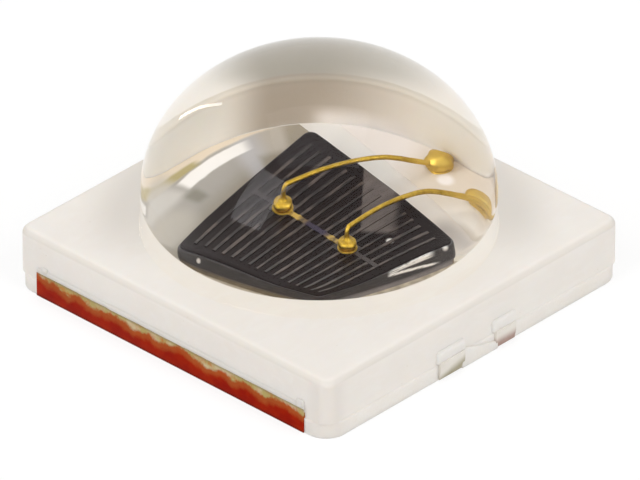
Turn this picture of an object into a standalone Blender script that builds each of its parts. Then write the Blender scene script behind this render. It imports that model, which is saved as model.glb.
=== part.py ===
"""High power emitter: cream moulded housing, two copper leads, dark chip in a cup, clear dome.

Metres, +Z up. The origin is at the middle of the underside. The large copper strip is at -Y,
the chip's wires run towards +Y, and the tie bars come out at +X and -X.
"""

import math

import bmesh
import bpy
from mathutils import Vector

# Lengths below are in millimetres
MM = 0.001

# Housing
BODY_WIDTH = 3.86
BODY_H = 0.615
BODY_CORNER_R = 0.13
TOP_FILLET_R = 0.07
SKIRT_STEP = 0.012
SKIRT_H = 0.16
SKIRT_CORNER_R = 0.22
SKIRT_BEVEL = 0.010

# Round cup that holds the chip
CUP_FLOOR_R = 1.115
CUP_MOUTH_R = 1.125
CUP_LIP_R = 0.02

# Copper leads
STRIP_WIDTH = 3.32
STRIP_H = 0.25
STRIP_OUT = 0.022
LEAD_H = 0.325
LEAD_CORNER_R = 0.10
PAD_BOTTOM_END = 0.60
WIRE_LEAD_START = 1.13
PAD_TOP_END = 0.74
WIRE_TOP_START = 0.87
PAD_X = 1.30
UPPER_BACK = 1.55
TIE_H = 0.19
TIE_OUT = 0.030
TIE_PAD_Y = -0.33
TIE_PAD_W = 0.32
TIE_LEAD_Y = 0.37
TIE_LEAD_W = 0.26
CRANK_W = 0.18
BROW_H = 0.11
BROW_SHOULDER = 0.6
BROW_OUT = 0.022
BROW_MARGIN = 0.03
BROW_ROOT = 0.08
WEDGE_OUT = 0.020
WEDGE_HIGH = 0.18
WEDGE_LOW = 0.06

# Plated layers on the leads
PLATE_T = 0.006

# Chip and what it stands on
CHIP_X = -0.08
CHIP_Y = 0.05
CHIP_WIDTH = 1.14
CHIP_T = 0.14
ATTACH_T = 0.015
ATTACH_OUT = 0.035
FILM_T = 0.006
FILM_INSET = 0.018
METAL_T = 0.004
GOLD_T = 0.006

# Contact lines on the chip
FINGERS = 16
FINGER_W = 0.012
FINGER_INSET = 0.045
BUS_W = 0.034
PAD_SPACING = 0.526
PAD_SHIFT_X = -0.025
PAD_SHIFT_Y = 0.035
PAD_R = 0.062

# Gold wires
WIRE_D = 0.028
BALL_R = 0.052
BALL_H = 0.040
BALL_FOOT = 0.8
NECK_H = 0.025
LEFT_LOOP_H = 0.128
RIGHT_LOOP_H = 0.106
BEND_R = 0.030
BEND_START = 165
BEND_END = 100
BUMP_R = 0.062
BUMP_H = 0.072
BUMP_SWELL = 0.8
BUMP_WAIST = 0.42
WIRE_END_H = 0.030
LEFT_END_X = -0.186
RIGHT_END_X = 0.055
WIRE_END_Y = 1.012

# Wire loop beyond its bend: (share of the run, share of the height above the shelf)
LOOP_SHAPE = (
    (0.12, 0.975),
    (0.24, 0.935),
    (0.36, 0.870),
    (0.50, 0.765),
    (0.62, 0.650),
    (0.72, 0.525),
    (0.80, 0.385),
    (0.87, 0.240),
    (0.93, 0.120),
    (1.00, 0.000),
)

# Lens
LENS_R = 1.615
LENS_FOOT_R = 1.640
LENS_FOOT_H = 0.025
LENS_SKIRT_H = 0.317
LENS_CAP_H = 1.306

# Clearances between pieces that were moulded or pressed together
MOULD_GAP = 0.002
LENS_GAP = 0.002
POCKET_GAP = 0.004
POCKET_BELOW = 0.03
WELD_GAP = 0.001

# Facets
ROUND_N = 60
SMALL_N = 16
WIRE_N = 10
CORNER_N = 5
CAP_N = 14

# Heights that follow from the values above
FLOOR_Z = LEAD_H + PLATE_T
CHIP_Z0 = FLOOR_Z + ATTACH_T
CHIP_Z1 = CHIP_Z0 + CHIP_T
FILM_Z1 = CHIP_Z1 + FILM_T
METAL_Z1 = FILM_Z1 + METAL_T
GOLD_Z1 = METAL_Z1 + GOLD_T
LEAD_Z0 = PLATE_T
BODY_HALF = BODY_WIDTH / 2
STRIP_Y = BODY_HALF + STRIP_OUT
TIE_X = BODY_HALF + SKIRT_STEP + TIE_OUT
PAD_Y = CHIP_Y + PAD_SHIFT_Y
PADS_X = CHIP_X + PAD_SHIFT_X
PAD_XS = (PADS_X - PAD_SPACING / 2, PADS_X + PAD_SPACING / 2)
END_XS = (LEFT_END_X, RIGHT_END_X)
LOOP_HS = (LEFT_LOOP_H, RIGHT_LOOP_H)


def clear_scene():
    for obj in list(bpy.data.objects):
        bpy.data.objects.remove(obj, do_unlink=True)


def material(name, colour, roughness, metallic=0.0, transmission=0.0, ior=1.45):
    mat = bpy.data.materials.new(name)
    mat.use_nodes = True
    shader = mat.node_tree.nodes["Principled BSDF"]
    shader.inputs["Base Color"].default_value = (*colour, 1.0)
    shader.inputs["Roughness"].default_value = roughness
    shader.inputs["Metallic"].default_value = metallic
    shader.inputs["Transmission Weight"].default_value = transmission
    shader.inputs["IOR"].default_value = ior
    mat.diffuse_color = (*colour, 1.0)
    return mat


def make_object(name, verts, faces, mat=None, smooth_angle=None):
    """One closed mesh from points in millimetres."""
    mesh = bpy.data.meshes.new(name)
    mesh.from_pydata([tuple(c * MM for c in v) for v in verts], [], faces)
    bm = bmesh.new()
    bm.from_mesh(mesh)
    bmesh.ops.recalc_face_normals(bm, faces=bm.faces)
    if bm.calc_volume(signed=True) < 0:
        bmesh.ops.reverse_faces(bm, faces=bm.faces)
    bm.to_mesh(mesh)
    bm.free()
    obj = bpy.data.objects.new(name, mesh)
    bpy.context.scene.collection.objects.link(obj)
    if mat is not None:
        mesh.materials.append(mat)
    if smooth_angle is not None:
        mesh.shade_smooth()
        mesh.set_sharp_from_angle(angle=math.radians(smooth_angle))
    return obj


def arc(cx, cy, r, start, end, n):
    """Points on an arc, in degrees, both ends included."""
    steps = (math.radians(start + (end - start) * i / n) for i in range(n + 1))
    return [(cx + r * math.cos(a), cy + r * math.sin(a)) for a in steps]


def rounded_rect(x0, x1, y0, y1, r, n=CORNER_N):
    """A closed outline, counterclockwise, with four corners of radius r."""
    corners = (
        (x1 - r, y1 - r, 0),
        (x0 + r, y1 - r, 90),
        (x0 + r, y0 + r, 180),
        (x1 - r, y0 + r, 270),
    )
    outline = []
    for cx, cy, start in corners:
        outline += arc(cx, cy, r, start, start + 90, n)
    return outline


def stack(name, layers, mat=None, smooth_angle=None):
    """A closed solid through outlines of equal length, given as (outline, z)."""
    n = len(layers[0][0])
    verts = [(x, y, z) for outline, z in layers for x, y in outline]
    faces = []
    for k in range(len(layers) - 1):
        for i in range(n):
            j = (i + 1) % n
            faces.append((k * n + i, k * n + j, (k + 1) * n + j, (k + 1) * n + i))
    faces.append(tuple(range(n - 1, -1, -1)))
    faces.append(tuple(range((len(layers) - 1) * n, len(layers) * n)))
    return make_object(name, verts, faces, mat, smooth_angle)


def prism(name, outline, z0, z1, mat=None):
    return stack(name, [(outline, z0), (outline, z1)], mat)


def box(name, x0, x1, y0, y1, z0, z1, mat=None):
    return prism(name, [(x0, y0), (x1, y0), (x1, y1), (x0, y1)], z0, z1, mat)


def revolve(name, profile, mat=None, n=ROUND_N, centre=(0.0, 0.0), smooth_angle=None):
    """A solid of revolution. The profile is (r, z) from the top of the axis to its foot."""
    cx, cy = centre
    top, rings, foot = profile[0], profile[1:-1], profile[-1]
    verts = [(cx, cy, top[1])]
    for r, z in rings:
        for i in range(n):
            a = 2 * math.pi * i / n
            verts.append((cx + r * math.cos(a), cy + r * math.sin(a), z))
    verts.append((cx, cy, foot[1]))
    last = len(verts) - 1
    faces = []
    for i in range(n):
        j = (i + 1) % n
        faces.append((0, 1 + i, 1 + j))
        for k in range(len(rings) - 1):
            a = 1 + k * n
            faces.append((a + i, a + n + i, a + n + j, a + j))
        a = 1 + (len(rings) - 1) * n
        faces.append((a + i, last, a + j))
    return make_object(name, verts, faces, mat, smooth_angle)


def sweep(name, path, radius, mat=None, n=WIRE_N, flats=None):
    """A round bar along a path in a vertical plane. flats squeezes it to a foot per point."""
    points = [Vector(p) for p in path]
    side = (points[-1] - points[0]).cross(Vector((0, 0, 1))).normalized()
    verts = []
    for k, p in enumerate(points):
        before = points[max(k - 1, 0)]
        after = points[min(k + 1, len(points) - 1)]
        along = (after - before).normalized()
        over = side.cross(along).normalized()
        wide, high = flats[k] if flats else (1.0, 1.0)
        for i in range(n):
            a = 2 * math.pi * (i + 0.5) / n
            offset = side * (math.cos(a) * wide) + over * (math.sin(a) * high)
            verts.append(tuple(p + offset * radius))
    faces = []
    for k in range(len(points) - 1):
        for i in range(n):
            j = (i + 1) % n
            faces.append((k * n + i, k * n + j, (k + 1) * n + j, (k + 1) * n + i))
    faces.append(tuple(range(n - 1, -1, -1)))
    faces.append(tuple(range((len(points) - 1) * n, len(points) * n)))
    return make_object(name, verts, faces, mat, 60)


def cells(name, xs, ys, filled, z0, z1, mat=None):
    """A flat plate made of the filled cells of a grid, closed along every open side."""
    index = {}
    verts = []
    faces = []

    def corner(i, j, z):
        key = (i, j, z)
        if key not in index:
            index[key] = len(verts)
            verts.append((xs[i], ys[j], z))
        return index[key]

    for i, j in filled:
        for z, turn in ((z0, -1), (z1, 1)):
            loop = [(i, j), (i + 1, j), (i + 1, j + 1), (i, j + 1)]
            faces.append(tuple(corner(a, b, z) for a, b in loop[::turn]))
        sides = (
            ((i - 1, j), (i, j + 1), (i, j)),
            ((i + 1, j), (i + 1, j), (i + 1, j + 1)),
            ((i, j - 1), (i, j), (i + 1, j)),
            ((i, j + 1), (i + 1, j + 1), (i, j + 1)),
        )
        for beside, a, b in sides:
            if beside not in filled:
                quad = (corner(*a, z0), corner(*b, z0), corner(*b, z1), corner(*a, z1))
                faces.append(quad)
    return make_object(name, verts, faces, mat)


def combine(target, tool, operation):
    """A live Boolean. The tool object stays in the scene, hidden from renders."""
    tool.hide_render = True
    tool.display_type = "WIRE"
    tool.name = "tool_" + tool.name
    mod = target.modifiers.new(tool.name, "BOOLEAN")
    mod.operation = operation
    mod.solver = "EXACT"
    mod.object = tool


def cut(target, *tools):
    for tool in tools:
        combine(target, tool, "DIFFERENCE")


def join(target, *tools):
    for tool in tools:
        combine(target, tool, "UNION")


# Copper leads
def pad_outline(grow):
    """Large lead from above: sawn edge at -Y, wide strip plate, narrower end under the chip."""
    wide = STRIP_WIDTH / 2 + grow
    narrow = PAD_X + grow
    step = TIE_PAD_Y + TIE_PAD_W / 2 + grow
    end = PAD_BOTTOM_END + grow
    r = LEAD_CORNER_R
    right = [(wide, -STRIP_Y - grow)]
    right += arc(wide - r, step - r, r, 0, 90, CORNER_N)
    right.append((narrow, step))
    right += arc(narrow - r, end - r, r, 0, 90, CORNER_N)
    return right + [(-x, y) for x, y in reversed(right)]


def lead_outline(grow):
    """Small lead from above: sawn edge at +Y, rounded corners towards the chip."""
    wide = STRIP_WIDTH / 2 + grow
    start = WIRE_LEAD_START - grow
    r = LEAD_CORNER_R
    right = arc(wide - r, start + r, r, -90, 0, CORNER_N)
    right.append((wide, STRIP_Y + grow))
    return right + [(-x, y) for x, y in reversed(right)]


def pad_parts(name, grow, z0, mat=None):
    """The large lead: plate with the exposed strip, raised cup floor and tie bars."""
    upper = rounded_rect(
        -PAD_X - grow, PAD_X + grow, -UPPER_BACK - grow, PAD_TOP_END + grow, LEAD_CORNER_R
    )
    tie_w = TIE_PAD_W / 2 + grow
    tie_x = TIE_X + grow
    return (
        prism(name, pad_outline(grow), z0, STRIP_H + grow, mat),
        prism(name + "_raised", upper, STRIP_H / 2, LEAD_H + grow),
        box(
            name + "_tie",
            *(-tie_x, tie_x),
            *(TIE_PAD_Y - tie_w, TIE_PAD_Y + tie_w),
            *(z0, TIE_H + grow),
        ),
    )


def lead_parts(name, grow, z0, mat=None):
    """The small lead: plate with its strip, bonding shelf and two cranked tie bars."""
    upper = rounded_rect(
        -PAD_X - grow, PAD_X + grow, WIRE_TOP_START - grow, UPPER_BACK + grow, LEAD_CORNER_R
    )
    parts = [
        prism(name, lead_outline(grow), z0, STRIP_H + grow, mat),
        prism(name + "_raised", upper, STRIP_H / 2, LEAD_H + grow),
    ]
    tie_w = TIE_LEAD_W / 2 + grow
    crank_in = STRIP_WIDTH / 2 - CRANK_W / 2 - grow
    crank_out = STRIP_WIDTH / 2 + CRANK_W / 2 + grow
    heights = (z0, TIE_H + grow)
    for side in (-1, 1):
        bar_x = sorted((side * crank_in, side * (TIE_X + grow)))
        crank_x = sorted((side * crank_in, side * crank_out))
        bar_y = (TIE_LEAD_Y - tie_w, TIE_LEAD_Y + tie_w)
        crank_y = (TIE_LEAD_Y - tie_w, WIRE_LEAD_START + LEAD_CORNER_R * 2)
        parts.append(box(name + "_tie", *bar_x, *bar_y, *heights))
        parts.append(box(name + "_crank", *crank_x, *crank_y, *heights))
    return tuple(parts)


def make_leads(copper):
    pad, *more = pad_parts("heat_pad", 0.0, LEAD_Z0, copper)
    join(pad, *more)
    lead, *more = lead_parts("wire_lead", 0.0, LEAD_Z0, copper)
    join(lead, *more)


# Plated layers: solderable underside and bright floor of the cup
def floor_segment(r, y, side):
    """The part of the round cup floor beyond the line at y, on the given side of it."""
    a = math.degrees(math.asin(y / r))
    if side > 0:
        return arc(0, 0, r, a, 180 - a, ROUND_N // 3)
    return arc(0, 0, r, 180 - a, 360 + a, ROUND_N * 2 // 3)


def make_plating(silver):
    r = CUP_FLOOR_R - MOULD_GAP
    pad_floor = floor_segment(r, PAD_TOP_END, -1)
    lead_floor = floor_segment(r, WIRE_TOP_START, 1)
    prism("cup_floor_plating", pad_floor, LEAD_H, FLOOR_Z, silver)
    prism("bond_shelf_plating", lead_floor, LEAD_H, FLOOR_Z, silver)
    prism("heat_pad_plating", pad_outline(0.0), 0.0, LEAD_Z0, silver)
    prism("wire_lead_plating", lead_outline(0.0), 0.0, LEAD_Z0, silver)


# Housing
def body_layers():
    """Rounded squares from the underside to the top: flared foot, wall and top fillet."""
    foot = BODY_HALF + SKIRT_STEP
    levels = [
        (foot, SKIRT_CORNER_R, 0.0),
        (foot, SKIRT_CORNER_R, SKIRT_H - SKIRT_BEVEL),
        (BODY_HALF, BODY_CORNER_R, SKIRT_H),
    ]
    for dx, dz in arc(0, 0, TOP_FILLET_R, 0, 90, 4):
        inset = TOP_FILLET_R - dx
        levels.append((BODY_HALF - inset, BODY_CORNER_R - inset, BODY_H - TOP_FILLET_R + dz))
    return [(rounded_rect(-h, h, -h, h, r), z) for h, r, z in levels]


def brow(y, width, side):
    """The lump of housing plastic over a tie bar."""
    layers = []
    shoulder = TIE_H + BROW_H * BROW_SHOULDER
    for inset, z in ((0.0, TIE_H / 2), (0.0, shoulder), (BROW_OUT, TIE_H + BROW_H)):
        half = width / 2 + BROW_MARGIN - inset
        reach = BODY_HALF + SKIRT_STEP + BROW_OUT - inset
        across = sorted((side * (BODY_HALF - BROW_ROOT), side * reach))
        layers.append((rounded_rect(*across, y - half, y + half, BROW_OUT), z))
    return stack("brow", layers)


def wedge():
    """The sloping rib of plastic between the two tie bars on the +X side."""
    x0 = BODY_HALF - BROW_ROOT
    x1 = BODY_HALF + SKIRT_STEP + WEDGE_OUT
    y0 = TIE_PAD_Y + TIE_PAD_W / 2 - BROW_MARGIN
    y1 = TIE_LEAD_Y - TIE_LEAD_W / 2 + BROW_MARGIN
    verts = []
    for y, top in ((y0, WEDGE_HIGH), (y1, WEDGE_LOW)):
        verts += [(x0, y, 0.0), (x1, y, 0.0), (x1, y, top), (x0, y, top + WEDGE_OUT)]
    faces = [(0, 1, 2, 3), (7, 6, 5, 4)]
    for i in range(4):
        j = (i + 1) % 4
        faces.append((i, i + 4, j + 4, j))
    return make_object("wedge", verts, faces)


def cup_lip(gap):
    """Profile points round the cup's rounded lip, from the top face down to the wall."""
    lip = CUP_LIP_R
    points = []
    for dx, dz in arc(0, 0, lip, 90, 180, 4):
        points.append((CUP_MOUTH_R + lip + dx - gap, BODY_H - lip + dz + gap))
    return points


def make_housing(cream):
    housing = stack("housing", body_layers(), cream, 30)
    for side in (-1, 1):
        join(housing, brow(TIE_PAD_Y, TIE_PAD_W, side), brow(TIE_LEAD_Y, TIE_LEAD_W, side))
    join(housing, wedge())
    above = BODY_H + CUP_LIP_R
    cup = [(0.0, above), (CUP_MOUTH_R + CUP_LIP_R, above), *cup_lip(0.0)]
    cup += [(CUP_FLOOR_R, LEAD_H), (0.0, LEAD_H)]
    cut(housing, revolve("cup", cup))
    below = -POCKET_BELOW
    cut(housing, *pad_parts("pad_pocket", MOULD_GAP, below))
    cut(housing, *lead_parts("lead_pocket", MOULD_GAP, below))
    return housing


# Chip with its contact lines
def centred_box(name, side, z0, z1, mat=None):
    h = side / 2
    return box(name, CHIP_X - h, CHIP_X + h, CHIP_Y - h, CHIP_Y + h, z0, z1, mat)


def die_attach(name, grow, mat=None):
    """The thin layer of adhesive, with its fillet round the chip's foot."""
    layers = []
    for out, z in ((ATTACH_OUT, FLOOR_Z), (0.0, CHIP_Z0)):
        h = CHIP_WIDTH / 2 + out + grow
        outline = rounded_rect(
            CHIP_X - h, CHIP_X + h, CHIP_Y - h, CHIP_Y + h, ATTACH_OUT + grow, 3
        )
        layers.append((outline, z + (grow if z > FLOOR_Z else -grow)))
    return stack(name, layers, mat)


def contact_rects():
    """Fingers along Y, one bus along X and a square under each gold pad."""
    half = CHIP_WIDTH / 2 - FILM_INSET - FINGER_INSET
    first = CHIP_X - half + FINGER_W / 2
    pitch = (2 * half - FINGER_W) / (FINGERS - 1)
    y0, y1 = CHIP_Y - half, CHIP_Y + half
    rects = []
    for i in range(FINGERS):
        x = first + pitch * i
        rects.append((x - FINGER_W / 2, x + FINGER_W / 2, y0, y1))
    rects.append((CHIP_X - half, CHIP_X + half, PAD_Y - BUS_W / 2, PAD_Y + BUS_W / 2))
    for x in PAD_XS:
        rects.append((x - PAD_R, x + PAD_R, PAD_Y - PAD_R, PAD_Y + PAD_R))
    return rects


def rect_plate(name, rects, z0, z1, mat):
    """A flat plate that is the union of rectangles (x0, x1, y0, y1)."""
    xs = sorted({round(x, 6) for r in rects for x in r[:2]})
    ys = sorted({round(y, 6) for r in rects for y in r[2:]})
    filled = set()
    for i in range(len(xs) - 1):
        for j in range(len(ys) - 1):
            x = (xs[i] + xs[i + 1]) / 2
            y = (ys[j] + ys[j + 1]) / 2
            if any(a < x < b and c < y < d for a, b, c, d in rects):
                filled.add((i, j))
    return cells(name, xs, ys, filled, z0, z1, mat)


def make_chip(adhesive, semiconductor, film, metal, gold):
    die_attach("die_attach", 0.0, adhesive)
    centred_box("chip", CHIP_WIDTH, CHIP_Z0, CHIP_Z1, semiconductor)
    centred_box("emitting_film", CHIP_WIDTH - 2 * FILM_INSET, CHIP_Z1, FILM_Z1, film)
    rect_plate("contact_lines", contact_rects(), FILM_Z1, METAL_Z1, metal)
    for side, x in zip(("left", "right"), PAD_XS):
        ring = arc(x, PAD_Y, PAD_R, 0, 360 - 360 / SMALL_N, SMALL_N - 1)
        prism("bond_pad_" + side, ring, METAL_Z1, GOLD_Z1, gold)


# Gold wires
def ball(name, x, grow, mat=None):
    """The flattened ball that starts a wire, with its neck."""
    r, h = BALL_R + grow, BALL_H + grow
    neck = WIRE_D / 2 + grow
    profile = [(0.0, GOLD_Z1 + h + NECK_H), (neck, GOLD_Z1 + h + NECK_H), (neck, GOLD_Z1 + h)]
    for dx, dz in arc(0, 0, h / 2, 70, -70, 4):
        profile.append((r - h / 2 + dx, GOLD_Z1 + h / 2 + dz - grow / 2))
    profile += [(r * BALL_FOOT, GOLD_Z1 - grow), (0.0, GOLD_Z1 - grow)]
    return revolve(name, profile, mat, SMALL_N, (x, PAD_Y), 40)


def wire_path(x0, x1, loop_h):
    """Up from the neck, round a tight bend, along a gentle slope and then down to the shelf."""
    knee = GOLD_Z1 + loop_h
    foot = FLOOR_Z + WIRE_END_H
    run = WIRE_END_Y - PAD_Y
    side = [(0.0, GOLD_Z1 + BALL_H + NECK_H / 2), (0.0, knee - BEND_R)]
    side += arc(BEND_R, knee - BEND_R, BEND_R, BEND_START, BEND_END, 4)
    side += [(run * s, foot + (knee - foot) * share) for s, share in LOOP_SHAPE]
    return [(x0 + (x1 - x0) * y / run, PAD_Y + y, z) for y, z in side]


def bump(name, x, grow, mat=None):
    """The ball that locks a wire's end to the shelf."""
    r, h = BUMP_R + grow, BUMP_H + grow
    profile = [(0.0, FLOOR_Z + h)]
    for a in (18, 36, 54, 72, 90, 108, 126):
        t = math.radians(a)
        z = FLOOR_Z + h * (BUMP_WAIST + (1 - BUMP_WAIST) * math.cos(t))
        profile.append((r * math.sin(t) ** BUMP_SWELL, z))
    profile += [(r * BALL_FOOT, FLOOR_Z - grow), (0.0, FLOOR_Z - grow)]
    return revolve(name, profile, mat, SMALL_N, (x, WIRE_END_Y), 50)


def wire_tools(grow):
    """Grown copies of both wires with their balls, for the spaces round them."""
    tools = []
    for x0, x1, loop_h in zip(PAD_XS, END_XS, LOOP_HS):
        tools.append(sweep("wire_space", wire_path(x0, x1, loop_h), WIRE_D / 2 + grow))
        tools.append(ball("ball_space", x0, grow))
    return tools


def make_wires(gold):
    for side, x0, x1, loop_h in zip(("left", "right"), PAD_XS, END_XS, LOOP_HS):
        path = wire_path(x0, x1, loop_h)
        wire = ball("bond_wire_" + side, x0, 0.0, gold)
        join(wire, sweep("wire", path, WIRE_D / 2))
        lock = bump("stitch_bump_" + side, x1, 0.0, gold)
        cut(lock, sweep("wire_space", path, WIRE_D / 2 + WELD_GAP))


# Clear lens
def lens_profile():
    """From the crown over the skirt and foot, across the top face and down into the cup."""
    shoulder = BODY_H + LENS_SKIRT_H
    points = [(0.0, shoulder + LENS_CAP_H)]
    for i in range(1, CAP_N + 1):
        t = math.pi / 2 * (1 - i / CAP_N)
        points.append((LENS_R * math.cos(t), shoulder + LENS_CAP_H * math.sin(t)))
    foot_z = BODY_H + LENS_GAP
    for i in range(5):
        t = math.pi / 2 * (1 - i / 4)
        r = LENS_FOOT_R - (LENS_FOOT_R - LENS_R) * math.sin(t)
        points.append((r, foot_z + LENS_FOOT_H * (1 - math.cos(t))))
    points += cup_lip(LENS_GAP)
    points += [(CUP_FLOOR_R - LENS_GAP, FLOOR_Z + LENS_GAP), (0.0, FLOOR_Z + LENS_GAP)]
    return points


def make_lens(silicone):
    lens = revolve("lens", lens_profile(), silicone, smooth_angle=35)
    side = CHIP_WIDTH + 2 * POCKET_GAP
    cut(lens, die_attach("attach_space", POCKET_GAP))
    cut(lens, centred_box("chip_space", side, LEAD_H, GOLD_Z1 + POCKET_GAP))
    cut(lens, *wire_tools(POCKET_GAP))
    cut(lens, *(bump("bump_space", x, POCKET_GAP) for x in END_XS))


def main():
    clear_scene()
    cream = material("housing_cream", (0.80, 0.755, 0.68), 0.42)
    copper = material("lead_copper", (0.55, 0.13, 0.06), 0.38, 1.0)
    silver = material("plated_silver", (0.80, 0.79, 0.74), 0.28, 1.0)
    adhesive = material("die_adhesive", (0.35, 0.33, 0.30), 0.45, 0.6)
    semiconductor = material("chip_body", (0.035, 0.028, 0.032), 0.22)
    film = material("chip_film", (0.045, 0.032, 0.048), 0.18)
    metal = material("contact_metal", (0.20, 0.15, 0.16), 0.35, 0.8)
    gold = material("bond_gold", (0.83, 0.53, 0.06), 0.30, 1.0)
    silicone = material("lens_silicone", (0.97, 0.96, 0.93), 0.03, 0.0, 1.0, 1.45)
    make_housing(cream)
    make_leads(copper)
    make_plating(silver)
    make_chip(adhesive, semiconductor, film, metal, gold)
    make_wires(gold)
    make_lens(silicone)


main()
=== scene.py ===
from math import asin, copysign, cos, pi, radians, sin, sqrt

import bmesh
import bpy
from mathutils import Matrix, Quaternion, Vector, noise


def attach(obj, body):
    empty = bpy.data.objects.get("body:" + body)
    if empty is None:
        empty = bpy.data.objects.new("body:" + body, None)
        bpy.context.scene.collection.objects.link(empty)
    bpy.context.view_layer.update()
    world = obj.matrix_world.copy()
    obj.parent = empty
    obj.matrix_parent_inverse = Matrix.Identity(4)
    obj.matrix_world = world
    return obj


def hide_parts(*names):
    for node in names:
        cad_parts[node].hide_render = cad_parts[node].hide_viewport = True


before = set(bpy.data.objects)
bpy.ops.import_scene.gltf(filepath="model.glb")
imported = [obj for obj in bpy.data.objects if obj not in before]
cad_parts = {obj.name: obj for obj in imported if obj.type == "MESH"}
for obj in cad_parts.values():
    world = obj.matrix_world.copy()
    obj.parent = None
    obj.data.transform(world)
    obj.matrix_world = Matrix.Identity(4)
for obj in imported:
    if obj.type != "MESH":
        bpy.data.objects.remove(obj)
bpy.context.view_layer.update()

MM = 0.001

# The photograph's view: a long lens, so that edges stay parallel
PHOTO_W, PHOTO_H = 640, 480
PHOTO_AZIMUTH = 43.5
PHOTO_ELEVATION = 32.3
VIEW_COS = cos(radians(PHOTO_AZIMUTH))
VIEW_SIN = sin(radians(PHOTO_AZIMUTH))
PIXELS_PER_MM = 110.9
LENS_MM, SENSOR_MM = 900.0, 36.0
TOP_CENTRE_PIXEL = (319.0, 221.7)

# Sizes in millimetres, the same as the solids'
BODY_HALF = 1.93
BODY_TOP = 0.615
BODY_CORNER = 0.13
TOP_ROUND = 0.07
FOOT_OUT = 0.012
FOOT_H = 0.16
FOOT_CORNER = 0.22
CUP_FLOOR_R = 1.115
CUP_MOUTH_R = 1.125
CUP_LIP = 0.02
LEAD_Z = 0.325
PLATED_Z = 0.331
PLATED_R = CUP_FLOOR_R - 0.002
GAP_Y0, GAP_Y1 = 0.74, 0.87
STRIP_HALF, STRIP_TOP = 1.66, 0.25
TIES = ((-0.33, 0.32), (0.37, 0.26))
TIE_TOP = 0.19
TIE_OUT = 1.972
LENS_R = 1.615
LENS_FOOT_R = 1.640
LENS_FOOT_H = 0.025
LENS_SKIRT_Z = 0.932
LENS_TOP_Z = 2.238
SINK = 0.003

# Moulded trim: brows over the tie bars, a rib between two, flash and crumbs on the strips
BROW_ROOT, BROW_OUT, BROW_MARGIN = 0.06, 0.030, 0.03
BROW_FOOT, BROW_TOP, BROW_ROUND = TIE_TOP - 0.03, 0.30, 0.040
RIB_Y0, RIB_Y1, RIB_OUT, RIB_TOP = -0.20, 0.27, 0.032, 0.20
RIB_FALL, RIB_ROUND = 0.12, 0.010
FLASH_THICK, FLASH_CORE = 0.006, 0.065
CRUMB_Y0, CRUMB_Y1, CRUMB_ROUND = 1.90, 1.950, 0.024

# Crumbs at the strips' ends: (which end, near x, far x, foot, top)
CRUMBS = ((-1, 1.555, 1.655, 0.235, 0.335), (1, 1.53, 1.61, 0.255, 0.325))

# Sawn leads: worn edges, and tie bar ends torn inward at their foot
LEAD_WEAR = 0.004
TORN_CUTS = (0.10, 0.05)
TORN_FROM, TORN_SLOPE = 0.11, 0.22

# Chip, lines and wires: the two swells and the lines' width go beyond the solids'
CHIP = (-0.08, 0.05)
CHIP_HALF = 0.57
CHIP_SWELL, FILM_SWELL = 0.018, 0.026
CHIP_Z0, CHIP_Z1 = 0.346, 0.486
FILM_HALF, FILM_Z1 = 0.552, 0.492
METAL_Z1, GOLD_Z1 = 0.496, 0.502
FINGERS, FINGER_W, FINGER_HALF = 16, 0.018, 0.507
FINGER_REACH, BUS_W = 0.501, 0.034
PAD_Y, PAD_R = 0.085, 0.062
PAD_XS = (-0.368, 0.158)
END_XS, END_Y = (-0.186, 0.055), 1.012
LOOP_HS = (0.128, 0.106)
WIRE_R, BALL_R, BALL_H, NECK_H = 0.014, 0.052, 0.040, 0.025
BEND_R = 0.030
FOOT_Z = PLATED_Z + 0.030

# Gold lumps at the wires' far ends: (x, y, radius, height)
LUMPS = ((-0.192, 1.034, 0.056, 0.060), (0.030, 1.028, 0.044, 0.038))

# Spots on the cup floor: (x, y, full within, gone at, colour)
CUP_SPOTS = (
    # A darker spot by the web
    (0.17, 0.85, 0.03, 0.10, (0.56, 0.50, 0.43)),
    # Painted shade by the near rim on the -X side
    (-0.90, -0.10, 0.06, 0.16, (0.54, 0.51, 0.46)),
    # Painted highlight under the left gold lump
    (-0.118, 1.00, 0.020, 0.045, (0.96, 0.93, 0.95)),
)

# Studio: the floor's half width in metres, how white it looks and its glow
FLOOR_HALF, FLOOR_WHITE, FLOOR_GLOW = 0.25, 0.75, 1.06

# Wire loop beyond its bend: (share of the run, share of the height above the shelf)
LOOP_SHAPE = (
    (0.12, 0.975), (0.24, 0.935), (0.36, 0.870), (0.50, 0.765), (0.62, 0.650),
    (0.72, 0.525), (0.80, 0.385), (0.87, 0.240), (0.93, 0.120), (1.00, 0.000),
)


# Node trees in a maker's terms
class Value:
    """A socket that can be used in sums: each operator adds its Math node."""

    def __init__(self, graph, socket):
        self.graph, self.socket = graph, socket

    def math(self, operation, *others, clamp=False):
        settings = {"operation": operation, "use_clamp": clamp}
        return self.graph.add("ShaderNodeMath", settings, self, *others)

    def __add__(self, other):
        return self.math("ADD", other)

    def __sub__(self, other):
        return self.math("SUBTRACT", other)

    def __rsub__(self, other):
        return self.graph.add("ShaderNodeMath", {"operation": "SUBTRACT"}, other, self)

    def __mul__(self, other):
        return self.math("MULTIPLY", other)

    def __truediv__(self, other):
        return self.math("DIVIDE", other)

    def __pow__(self, other):
        return self.math("POWER", other)

    __radd__ = __add__

    def clamp(self):
        return self.math("ADD", 0.0, clamp=True)

    def larger(self, other):
        return self.math("MAXIMUM", other)

    def over(self, low, high):
        """0 below low, 1 above high and smooth between."""
        settings = {"interpolation_type": "SMOOTHSTEP"}
        return self.graph.add("ShaderNodeMapRange", settings, self, low, high, 0.0, 1.0)

    def under(self, low, high):
        """1 below low, 0 above high and smooth between."""
        return 1.0 - self.over(low, high)

    def near(self, middle, half, soft):
        """1 within half of the middle, falling to 0 over the soft distance."""
        return (self - middle).math("ABSOLUTE").under(half, half + soft)


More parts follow.
